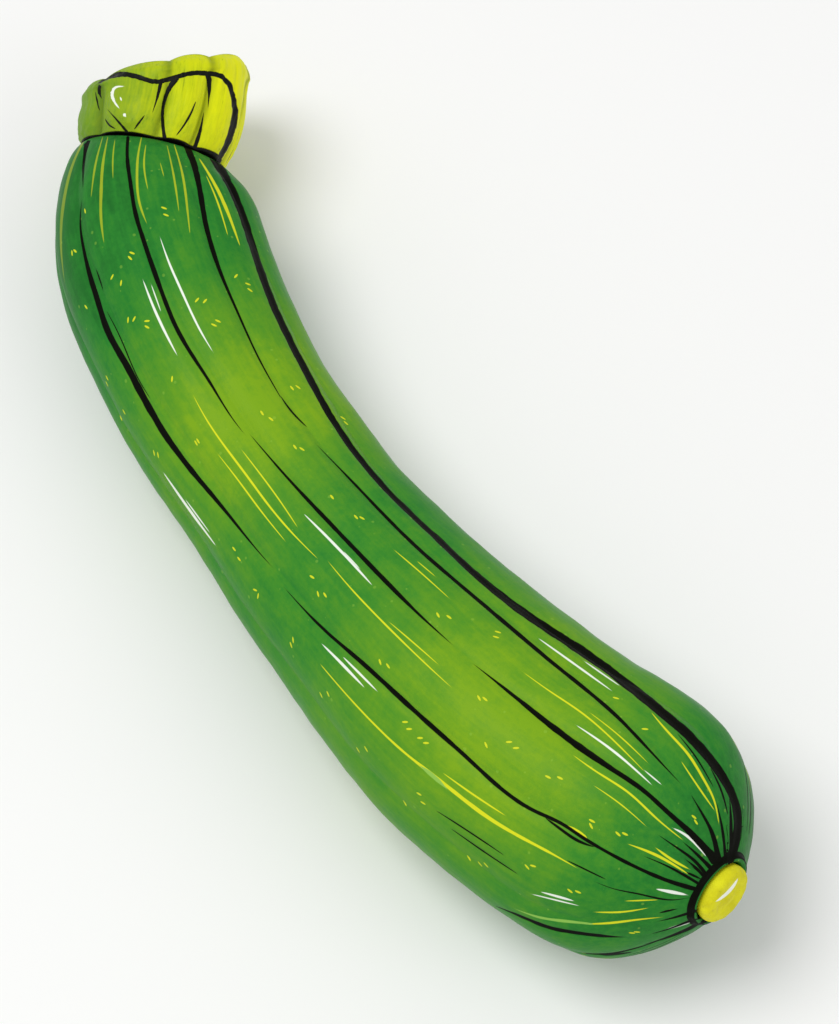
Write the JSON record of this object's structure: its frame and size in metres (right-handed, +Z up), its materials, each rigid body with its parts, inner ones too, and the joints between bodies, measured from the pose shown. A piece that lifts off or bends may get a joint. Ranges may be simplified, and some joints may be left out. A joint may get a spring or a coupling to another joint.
{
  "type": "zucchini",
  "caption": "Long, gently curved and ribbed green zucchini lying on its side, with a lobed cut stem at one end and a round blossom scar at the other.",
  "frame": {"origin": "on the surface it lies on, under the middle of its box", "axes": "+X from the stem to the blossom end along the fruit, +Z up from the surface, and the fruit bows towards -Y"},
  "size_m": [0.2105, 0.0683, 0.0504],
  "materials": {
    "skin": "waxy and glossy, mottled green with dark stripes in the valleys between the ribs",
    "stem": "satin, yellow-green and finely furrowed",
    "blossom_scar": "dull yellow, corky"
  },
  "bodies": {
    "root": {"fruit": "skin", "stem": "stem", "blossom_scar": "blossom_scar"}
  },
  "joints": []
}
